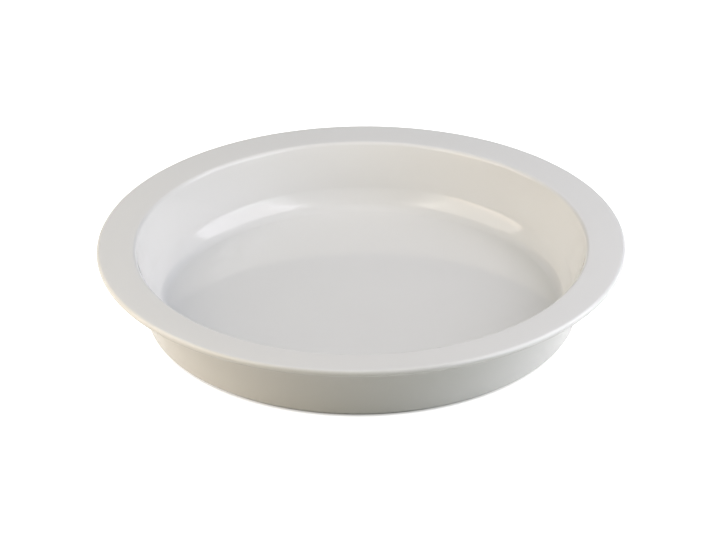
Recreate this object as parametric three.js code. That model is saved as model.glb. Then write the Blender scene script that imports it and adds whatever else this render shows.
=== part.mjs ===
// A deep round serving dish in glazed porcelain, with a flat floor, a leaning wall and a broad flange.
// The flange hangs the dish in the ring of a buffet warmer, and the foot ring stands it on a table.
// The real dish is a single fired piece, so the model is one section turned about the upright axis.
// Millimetres, +Z up. The origin is on the table, at the middle of the foot ring.

import * as THREE from "three";

// Overall sizes.
const rimRadius = 195; // the flange's outer edge, so the dish is 390 across
const dishHeight = 58; // from the table to the flange's highest line

// Flange. Its underside is level, so that it sits on a warmer's ring.
const flangeWidth = 28.5; // from the outer edge in to the lip of the opening
const flangeEdgeThickness = 5.2;
const flangeFall = 1.4; // how far the top drops from the outer edge to the lip

// Wall and floor.
const wallThickness = 6.2;
const wallLean = 14.2; // degrees outwards from upright
const wallTurnHeight = 9.5; // above the floor, where the inside of the wall turns in towards it
const wallFootLean = 40; // degrees from upright, inside, below that turn
const floorThickness = 4.7;

// Foot ring, which lifts the floor clear of the table.
const footHeight = 2.8;
const footWidth = 5.5;
const footInset = 4.6; // from the corner under the wall in to the foot's outer face

// Roundings.
const edgeRounding = 2.4; // both edges of the flange's nose
const lipRounding = 3.2; // where the flange turns down into the dish
const wallTurnRounding = 25; // inside, where the wall turns in
const coveRounding = 10; // inside, between the foot of the wall and the floor
const underFlangeRounding = 5; // outside, between the wall and the flange
const heelRounding = 3; // outside, between the wall and the base
const footRounding = 0.9; // both edges that stand on the table
const footRootRounding = 0.8; // where the foot leaves the base

// Fineness of the faceted surface.
const turnSteps = 96; // round the dish
const facetError = 0.12; // how far a facet along a rounding may lie off the true arc

// Heights of the main levels.
const baseHeight = footHeight;
const floorHeight = baseHeight + floorThickness;
const turnHeight = floorHeight + wallTurnHeight;
const lipHeight = dishHeight - flangeFall;
const flangeUnderside = dishHeight - flangeEdgeThickness;

// Radii that follow from the flange, the wall's lean and its thickness.
const lean = THREE.MathUtils.degToRad(wallLean);
const lipRadius = rimRadius - flangeWidth;
const innerWallRadius = (height) => lipRadius - (lipHeight - height) * Math.tan(lean);
const outerWallRadius = (height) => innerWallRadius(height) + wallThickness / Math.cos(lean);
const footLean = THREE.MathUtils.degToRad(wallFootLean);
const coveRadius = innerWallRadius(turnHeight) - wallTurnHeight * Math.tan(footLean);
const footOuterRadius = outerWallRadius(baseHeight) - footInset;
const footInnerRadius = footOuterRadius - footWidth;

// A corner of the section: its distance from the axis, its height and the radius that rounds it.
function corner(radius, height, rounding = 0) {
  return { point: new THREE.Vector2(radius, height), rounding };
}

// The points of a section whose corners are rounded by arcs tangent to both of their sides.
// An arc takes at most half of either side, so two neighbours never cross.
function roundedSection(corners) {
  const points = [corners[0].point];
  for (let i = 1; i < corners.length - 1; i += 1) {
    const { point, rounding } = corners[i];
    const before = corners[i - 1].point.clone().sub(point);
    const after = corners[i + 1].point.clone().sub(point);
    const turn = Math.PI - before.angleTo(after);
    const room = Math.min(before.length(), after.length()) / 2;
    const reach = Math.min(rounding * Math.tan(turn / 2), room);
    const radius = reach / Math.tan(turn / 2);
    const side = Math.sign(before.cross(after));
    const start = before.clone().setLength(reach).add(point);
    const bisector = before.clone().normalize().add(after.clone().normalize());
    const centre = bisector.setLength(radius / Math.cos(turn / 2)).add(point);
    const steps = Math.ceil(turn / (2 * Math.acos(1 - facetError / radius)));
    for (let step = 0; step <= steps; step += 1) {
      points.push(start.clone().rotateAround(centre, (-side * turn * step) / steps));
    }
  }
  points.push(corners[corners.length - 1].point);
  return points;
}

// The section from the middle of the base, round the foot and the flange, to the middle of the floor.
function dishSection() {
  return roundedSection([
    corner(0, baseHeight),
    corner(footInnerRadius, baseHeight, footRootRounding),
    corner(footInnerRadius, 0, footRounding),
    corner(footOuterRadius, 0, footRounding),
    corner(footOuterRadius, baseHeight, footRootRounding),
    corner(outerWallRadius(baseHeight), baseHeight, heelRounding),
    corner(outerWallRadius(flangeUnderside), flangeUnderside, underFlangeRounding),
    corner(rimRadius, flangeUnderside, edgeRounding),
    corner(rimRadius, dishHeight, edgeRounding),
    corner(lipRadius, lipHeight, lipRounding),
    corner(innerWallRadius(turnHeight), turnHeight, wallTurnRounding),
    corner(coveRadius, floorHeight, coveRounding),
    corner(0, floorHeight),
  ]);
}

function porcelainDish() {
  const geometry = new THREE.LatheGeometry(dishSection(), turnSteps);
  geometry.rotateX(Math.PI / 2);
  const glazedPorcelain = new THREE.MeshStandardMaterial({ color: 0xe2e2e1, roughness: 0.12, metalness: 0 });
  const mesh = new THREE.Mesh(geometry, glazedPorcelain);
  mesh.name = "porcelain_dish";
  return mesh;
}

const dish = new THREE.Group();
dish.add(porcelainDish());

export default dish;
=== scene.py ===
import math

import bmesh
import bpy
from mathutils import Matrix, Vector


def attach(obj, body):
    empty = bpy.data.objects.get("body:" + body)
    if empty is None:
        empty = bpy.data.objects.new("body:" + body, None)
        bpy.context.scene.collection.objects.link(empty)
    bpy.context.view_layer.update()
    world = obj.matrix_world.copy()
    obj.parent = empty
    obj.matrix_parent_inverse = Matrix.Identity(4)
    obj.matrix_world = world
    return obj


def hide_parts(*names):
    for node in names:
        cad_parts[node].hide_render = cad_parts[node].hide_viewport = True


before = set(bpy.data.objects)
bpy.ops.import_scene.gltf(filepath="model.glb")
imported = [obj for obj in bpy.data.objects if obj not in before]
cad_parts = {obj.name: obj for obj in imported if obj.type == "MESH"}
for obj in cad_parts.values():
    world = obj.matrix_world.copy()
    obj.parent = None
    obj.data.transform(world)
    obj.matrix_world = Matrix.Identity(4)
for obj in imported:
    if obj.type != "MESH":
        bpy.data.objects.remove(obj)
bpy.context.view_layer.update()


# The dish: one body of hard white porcelain, pressed in one piece with its flange and foot ring,
# then dipped in clear glaze and fired. The glaze softens every edge, so each corner of the section
# is rounded. The foot ring's contact face is wiped bare before the firing.

HEIGHT = 0.058
FLANGE_RADIUS = 0.195
FLANGE_WIDTH = 0.0285
FLANGE_EDGE = 0.0052
FLANGE_FALL = 0.0014  # from the outer edge down to the lip, on top
WALL = 0.0062
WALL_LEAN = math.tan(math.radians(14.2))
TURN_ABOVE_FLOOR = 0.0095  # where the inside of the wall turns in towards the floor
TURN_LEAN = math.tan(math.radians(40))
FLOOR_THICKNESS = 0.0047
FOOT_HEIGHT = 0.0028
FOOT_WIDTH = 0.0055
FOOT_INSET = 0.0046

EDGE_ROUNDING = 0.0024
LIP_ROUNDING = 0.0032
TURN_ROUNDING = 0.025
COVE_ROUNDING = 0.010
UNDER_FLANGE_ROUNDING = 0.005
HEEL_ROUNDING = 0.003
FOOT_ROUNDING = 0.0009
FOOT_ROOT_ROUNDING = 0.0008

STEPS_ROUND = 288
LONG_STRETCH = 0.0035  # a straight stretch of the section longer than this gets more points
STRETCH_CUTS = 7
MERGE_DISTANCE = 0.000001
CONTACT_FACE_TOP = 0.0002  # a face whose middle lies lower than this touches the table

FLOOR_HEIGHT = FOOT_HEIGHT + FLOOR_THICKNESS
TURN_HEIGHT = FLOOR_HEIGHT + TURN_ABOVE_FLOOR
LIP_HEIGHT = HEIGHT - FLANGE_FALL
LIP_RADIUS = FLANGE_RADIUS - FLANGE_WIDTH
FLANGE_UNDERSIDE = HEIGHT - FLANGE_EDGE


def inner_wall(height):
    """The inside radius of the leaning wall at a height."""
    return LIP_RADIUS - (LIP_HEIGHT - height) * WALL_LEAN


def outer_wall(height):
    """The outside radius of the leaning wall at a height."""
    return inner_wall(height) + WALL * math.hypot(1, WALL_LEAN)


def round_corner(section, vertex, radius, steps):
    """Rounds a corner of a section line with an arc of that radius, tangent to both its sides."""
    sides = [edge.other_vert(vertex).co - vertex.co for edge in vertex.link_edges]
    bmesh.ops.bevel(
        section,
        geom=[vertex],
        affect="VERTICES",
        offset=radius / math.tan(sides[0].angle(sides[1]) / 2),
        segments=steps,
        profile=0.5,
        material=-1,
    )


foot_outside = outer_wall(FOOT_HEIGHT) - FOOT_INSET
foot_inside = foot_outside - FOOT_WIDTH
cove_corner = inner_wall(TURN_HEIGHT) - TURN_ABOVE_FLOOR * TURN_LEAN

# The corners of the section, from the middle of the base round to the middle of the floor: the
# distance from the axis, the height, the rounding and the steps along that rounding.
corners = [
    (0, FOOT_HEIGHT, 0, 0),
    (foot_inside, FOOT_HEIGHT, FOOT_ROOT_ROUNDING, 6),
    (foot_inside, 0, FOOT_ROUNDING, 8),
    (foot_outside, 0, FOOT_ROUNDING, 8),
    (foot_outside, FOOT_HEIGHT, FOOT_ROOT_ROUNDING, 6),
    (outer_wall(FOOT_HEIGHT), FOOT_HEIGHT, HEEL_ROUNDING, 14),
    (outer_wall(FLANGE_UNDERSIDE), FLANGE_UNDERSIDE, UNDER_FLANGE_ROUNDING, 12),
    (FLANGE_RADIUS, FLANGE_UNDERSIDE, EDGE_ROUNDING, 14),
    (FLANGE_RADIUS, HEIGHT, EDGE_ROUNDING, 14),
    (LIP_RADIUS, LIP_HEIGHT, LIP_ROUNDING, 14),
    (inner_wall(TURN_HEIGHT), TURN_HEIGHT, TURN_ROUNDING, 20),
    (cove_corner, FLOOR_HEIGHT, COVE_ROUNDING, 20),
    (0, FLOOR_HEIGHT, 0, 0),
]

shell = bmesh.new()
points = [shell.verts.new((radius, 0, height)) for radius, height, _, _ in corners]
for start, end in zip(points, points[1:]):
    shell.edges.new((start, end))
for point, (_, _, rounding, steps) in zip(points, corners):
    if rounding:
        round_corner(shell, point, rounding, steps)
stretches = [edge for edge in shell.edges if edge.calc_length() > LONG_STRETCH]
bmesh.ops.subdivide_edges(shell, edges=stretches, cuts=STRETCH_CUTS)
bmesh.ops.spin(
    shell,
    geom=shell.verts[:] + shell.edges[:],
    cent=(0, 0, 0),
    axis=(0, 0, 1),
    angle=math.tau,
    steps=STEPS_ROUND,
    use_merge=True,
    use_duplicate=False,
)
bmesh.ops.remove_doubles(shell, verts=shell.verts[:], dist=MERGE_DISTANCE)
bmesh.ops.recalc_face_normals(shell, faces=shell.faces[:])
for face in shell.faces:
    face.smooth = True
    face.material_index = 1 if face.calc_center_median().z < CONTACT_FACE_TOP else 0
dish_mesh = bpy.data.meshes.new("porcelain_dish_body")
shell.to_mesh(dish_mesh)
shell.free()
dish = bpy.data.objects.new("porcelain_dish_body", dish_mesh)
bpy.context.collection.objects.link(dish)


def linear(hex_colour):
    """An sRGB hex colour as the linear values that a shader's colour socket takes."""
    channels = [int(hex_colour[place : place + 2], 16) / 255 for place in (1, 3, 5)]
    return [c / 12.92 if c <= 0.04045 else ((c + 0.055) / 1.055) ** 2.4 for c in channels] + [1.0]


def new_material(name):
    """An empty material that is made of nodes."""
    material = bpy.data.materials.new(name)
    material.use_nodes = True
    material.node_tree.nodes.clear()
    return material


def add(owner, kind, inputs=None, **settings):
    """Adds a node with its settings, and gives each named input its value or a link."""
    made = owner.node_tree.nodes.new(kind)
    for name, value in settings.items():
        setattr(made, name, value)
    for socket, value in (inputs or {}).items():
        if isinstance(value, bpy.types.NodeSocket):
            owner.node_tree.links.new(value, made.inputs[socket])
        else:
            made.inputs[socket].default_value = value
    return made


# Clear feldspar glaze over white hard porcelain. The eye gets a mirror-smooth skin over a matt
# white body, a slow unevenness where the glaze ran in the kiln, and a few specks as fine as dust.
glazed = new_material("glazed_hard_porcelain")
place = add(glazed, "ShaderNodeTexCoord").outputs["Object"]
# The glaze lies a little thicker in cloudy patches about 70 mm across, where it is a touch greyer.
cloud = add(
    glazed,
    "ShaderNodeTexNoise",
    {"Vector": place, "Scale": 14.0, "Detail": 2.0, "Roughness": 0.5},
)
body_colour = add(
    glazed,
    "ShaderNodeMix",
    {"Factor": cloud.outputs["Fac"], "A": linear("#E4E4E3"), "B": linear("#E1E1E0")},
    data_type="RGBA",
)
# Specks of about 0.4 mm, some 25 mm apart, as kiln dust leaves them.
dust = add(glazed, "ShaderNodeTexVoronoi", {"Vector": place, "Scale": 40.0, "Randomness": 1.0})
speck = add(
    glazed,
    "ShaderNodeMapRange",
    {
        "Value": dust.outputs["Distance"],
        "From Min": 0.006,
        "From Max": 0.012,
        "To Min": 0.25,
        "To Max": 0.0,
    },
)
speckled = add(
    glazed,
    "ShaderNodeMix",
    {
        "Factor": speck.outputs["Result"],
        "A": body_colour.outputs["Result"],
        "B": linear("#B9B2A4"),
    },
    data_type="RGBA",
)
# Waves of some 40 mm that bend a reflection, with the fine pitting of a fired glaze, 2 mm, on top.
waves = add(
    glazed,
    "ShaderNodeTexNoise",
    {"Vector": place, "Scale": 25.0, "Detail": 1.0, "Roughness": 0.4},
)
wave_bump = add(
    glazed,
    "ShaderNodeBump",
    {"Strength": 1.0, "Distance": 0.00004, "Height": waves.outputs["Fac"]},
)
pits = add(
    glazed,
    "ShaderNodeTexNoise",
    {"Vector": place, "Scale": 500.0, "Detail": 1.0, "Roughness": 0.5},
)
pit_bump = add(
    glazed,
    "ShaderNodeBump",
    {
        "Strength": 0.5,
        "Distance": 0.000004,
        "Height": pits.outputs["Fac"],
        "Normal": wave_bump.outputs["Normal"],
    },
)
glaze = add(
    glazed,
    "ShaderNodeBsdfPrincipled",
    {
        "Base Color": speckled.outputs["Result"],
        "Roughness": 0.05,
        "IOR": 1.5,
        "Specular IOR Level": 0.4,
        "Normal": pit_bump.outputs["Normal"],
    },
)
add(glazed, "ShaderNodeOutputMaterial", {"Surface": glaze.outputs["BSDF"]})

# Bare porcelain on the foot ring: the glaze is wiped off here so that the dish doesn't stick in the
# kiln. The eye gets a dry, slightly warmer face with a fine grain and grey scuffs from shelves.
bare = new_material("bare_porcelain")
place = add(bare, "ShaderNodeTexCoord").outputs["Object"]
# Scuffs of about 5 mm.
scuffs = add(
    bare,
    "ShaderNodeTexNoise",
    {"Vector": place, "Scale": 180.0, "Detail": 4.0, "Roughness": 0.65},
)
scuff_colour = add(bare, "ShaderNodeValToRGB", {"Fac": scuffs.outputs["Fac"]})
scuffed, clean = scuff_colour.color_ramp.elements
scuffed.position = 0.35
scuffed.color = linear("#BDB8AE")
clean.position = 0.6
clean.color = linear("#DAD5CA")
# Grit of about 0.3 mm.
grit = add(
    bare,
    "ShaderNodeTexNoise",
    {"Vector": place, "Scale": 3000.0, "Detail": 2.0, "Roughness": 0.6},
)
grit_bump = add(
    bare,
    "ShaderNodeBump",
    {"Strength": 0.6, "Distance": 0.00004, "Height": grit.outputs["Fac"]},
)
biscuit = add(
    bare,
    "ShaderNodeBsdfPrincipled",
    {
        "Base Color": scuff_colour.outputs["Color"],
        "Roughness": 0.75,
        "IOR": 1.5,
        "Normal": grit_bump.outputs["Normal"],
    },
)
add(bare, "ShaderNodeOutputMaterial", {"Surface": biscuit.outputs["BSDF"]})

dish_mesh.materials.append(glazed)
dish_mesh.materials.append(bare)
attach(dish, "root")
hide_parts("porcelain_dish")


# The table: a plain white sheet, level with the foot. A glow that only the camera and the glaze's
# reflections see lifts it to white. An ambient-occlusion term darkens the glow in the narrow gap
# under the heel, a painted contact shadow, so the dish stands on a thin dark line.

SHEET_REACH = 12
MIRRORED_GLOW = 0.6
CAMERA_GLOW = 0.4  # on top of the mirrored glow, so that the camera sees a strength of 1
CONTACT_SHADE_REACH = 0.0032

sheet = bmesh.new()
bmesh.ops.create_grid(sheet, x_segments=1, y_segments=1, size=SHEET_REACH)
table_mesh = bpy.data.meshes.new("table")
sheet.to_mesh(table_mesh)
sheet.free()
table = bpy.data.objects.new("table", table_mesh)
bpy.context.collection.objects.link(table)
white_sheet = new_material("white_sheet")
ray = add(white_sheet, "ShaderNodeLightPath")
seen_or_mirrored = add(
    white_sheet,
    "ShaderNodeMath",
    {0: ray.outputs["Is Camera Ray"], 1: ray.outputs["Is Glossy Ray"]},
    operation="MAXIMUM",
)
seen_at_all = add(
    white_sheet,
    "ShaderNodeMath",
    {0: seen_or_mirrored.outputs[0], 1: ray.outputs["Is Transmission Ray"]},
    operation="MAXIMUM",
)
mirrored_glow = add(
    white_sheet,
    "ShaderNodeMath",
    {0: seen_at_all.outputs[0], 1: MIRRORED_GLOW},
    operation="MULTIPLY",
)
open_glow = add(
    white_sheet,
    "ShaderNodeMath",
    {0: ray.outputs["Is Camera Ray"], 1: CAMERA_GLOW, 2: mirrored_glow.outputs[0]},
    operation="MULTIPLY_ADD",
)
# Painted contact shadow: ambient occlusion within the reach below darkens the glow under the heel.
openness = add(
    white_sheet, "ShaderNodeAmbientOcclusion", {"Distance": CONTACT_SHADE_REACH}, samples=16
)
shaded_glow = add(
    white_sheet,
    "ShaderNodeMath",
    {0: open_glow.outputs[0], 1: openness.outputs["AO"]},
    operation="MULTIPLY",
)
matt = add(white_sheet, "ShaderNodeBsdfDiffuse", {"Color": linear("#CBCBC8")})
glow = add(
    white_sheet,
    "ShaderNodeEmission",
    {"Color": linear("#FFFFFF"), "Strength": shaded_glow.outputs[0]},
)
glowing_sheet = add(white_sheet, "ShaderNodeAddShader", {0: matt.outputs[0], 1: glow.outputs[0]})
add(white_sheet, "ShaderNodeOutputMaterial", {"Surface": glowing_sheet.outputs[0]})
table_mesh.materials.append(white_sheet)


# The studio: two large, nearly square softboxes, a whiter one on the right and a warmer one on the
# left, with weak lights low down beside the table and a faint ceiling. Two narrow reflectors and a
# grey card behind the dish show only in the glaze.

SOFTBOX_DISTANCE = 1.0
SOFTBOX_AIM = Vector((0, 0, 0.05))


def softbox(name, azimuth, elevation, width, height, radiance, colour):
    """A rectangular lamp that faces the dish from so many degrees round from +X and up from level.

    Its radiance is what a mirror would show of it. Blender spreads a lamp's energy so that this
    is the energy over four times the area.
    """
    lamp = bpy.data.lights.new(name, "AREA")
    lamp.shape = "RECTANGLE"
    lamp.size = width
    lamp.size_y = height
    lamp.color = linear(colour)[:3]
    lamp.energy = radiance * 4 * width * height
    around, above = math.radians(azimuth), math.radians(elevation)
    level = math.cos(above)
    outward = Vector((math.cos(around) * level, math.sin(around) * level, math.sin(above)))
    holder = bpy.data.objects.new(name, lamp)
    holder.location = outward * SOFTBOX_DISTANCE + SOFTBOX_AIM
    holder.rotation_euler = outward.to_track_quat("Z", "Y").to_euler()
    holder.visible_camera = False
    bpy.context.collection.objects.link(holder)
    return holder


softbox("right_softbox", -10, 31, 0.93, 0.98, 3.03, "#F8F5FC")
softbox("right_table_light", -30, 8, 0.54, 0.32, 0.75, "#DEFFE7")
softbox("left_softbox", 193, 31, 0.93, 0.98, 2.17, "#FFF7EF")
softbox("left_table_light", 194, 8, 0.98, 0.32, 1.00, "#FFCE95")
softbox("left_front_light", 210, 30, 0.43, 0.89, 0.42, "#FFFAD2")
softbox("ceiling_light", 90, 65, 1.40, 1.40, 0.26, "#DBE7FF")
softbox("right_reflector", -41, 31, 0.25, 0.98, 1.65, "#FCFCFF").visible_diffuse = False
softbox("left_reflector", 224, 31, 0.25, 0.98, 1.50, "#FFF9EF").visible_diffuse = False

CARD_MIDDLE = (0, 1.4, 0.81)
CARD_HALF_WIDTH = 1.4
CARD_HALF_HEIGHT = 0.69

upright = Matrix.Translation(CARD_MIDDLE) @ Matrix.Rotation(math.pi / 2, 4, "X")
stretched = Matrix.Diagonal((CARD_HALF_WIDTH, CARD_HALF_HEIGHT, 1, 1))
board = bmesh.new()
bmesh.ops.create_grid(board, x_segments=1, y_segments=1, size=1, matrix=upright @ stretched)
card_mesh = bpy.data.meshes.new("grey_card")
board.to_mesh(card_mesh)
board.free()
card = bpy.data.objects.new("grey_card", card_mesh)
bpy.context.collection.objects.link(card)
card.visible_camera = False
card.visible_diffuse = False
grey = new_material("grey_card")
card_glow = add(grey, "ShaderNodeEmission", {"Color": linear("#E1E8FF"), "Strength": 0.36})
add(grey, "ShaderNodeOutputMaterial", {"Surface": card_glow.outputs[0]})
card_mesh.materials.append(grey)


# The room: it gives the dish next to no light of its own. The camera and the glaze's reflections
# see it as plain white.

world = bpy.data.worlds.new("white_room")
bpy.context.scene.world = world
world.use_nodes = True
world.node_tree.nodes.clear()
ray = add(world, "ShaderNodeLightPath")
seen_or_mirrored = add(
    world,
    "ShaderNodeMath",
    {0: ray.outputs["Is Camera Ray"], 1: ray.outputs["Is Glossy Ray"]},
    operation="MAXIMUM",
)
seen_at_all = add(
    world,
    "ShaderNodeMath",
    {0: seen_or_mirrored.outputs[0], 1: ray.outputs["Is Transmission Ray"]},
    operation="MAXIMUM",
)
dim = add(world, "ShaderNodeBackground", {"Color": linear("#E7FFAA"), "Strength": 0.05})
white = add(world, "ShaderNodeBackground", {"Color": linear("#FFFFFF"), "Strength": 1.0})
room = add(
    world,
    "ShaderNodeMixShader",
    {0: seen_at_all.outputs[0], 1: dim.outputs[0], 2: white.outputs[0]},
)
add(world, "ShaderNodeOutputWorld", {"Surface": room.outputs[0]})


# The camera: a long lens at 28 degrees above the table, a touch out of level. It looks at a point
# inside the dish, just left of its axis.

LENS = 178.3
SENSOR_WIDTH = 36
CAMERA_AIM = Vector((-0.00244, 0, 0.03327))
CAMERA_DISTANCE = 2.6294
CAMERA_ELEVATION = math.radians(28.216)
CAMERA_ROLL = math.radians(-0.588)

camera_data = bpy.data.cameras.new("camera")
camera_data.sensor_width = SENSOR_WIDTH
camera_data.lens = LENS
camera_data.dof.use_dof = False
camera = bpy.data.objects.new("camera", camera_data)
bpy.context.collection.objects.link(camera)
away = Vector((0, -math.cos(CAMERA_ELEVATION), math.sin(CAMERA_ELEVATION)))
camera.matrix_world = (
    Matrix.Translation(CAMERA_AIM + away * CAMERA_DISTANCE)
    @ Matrix.Rotation(math.pi / 2 - CAMERA_ELEVATION, 4, "X")
    @ Matrix.Rotation(CAMERA_ROLL, 4, "Z")
)
bpy.context.scene.camera = camera
bpy.context.scene.view_settings.view_transform = "Standard"
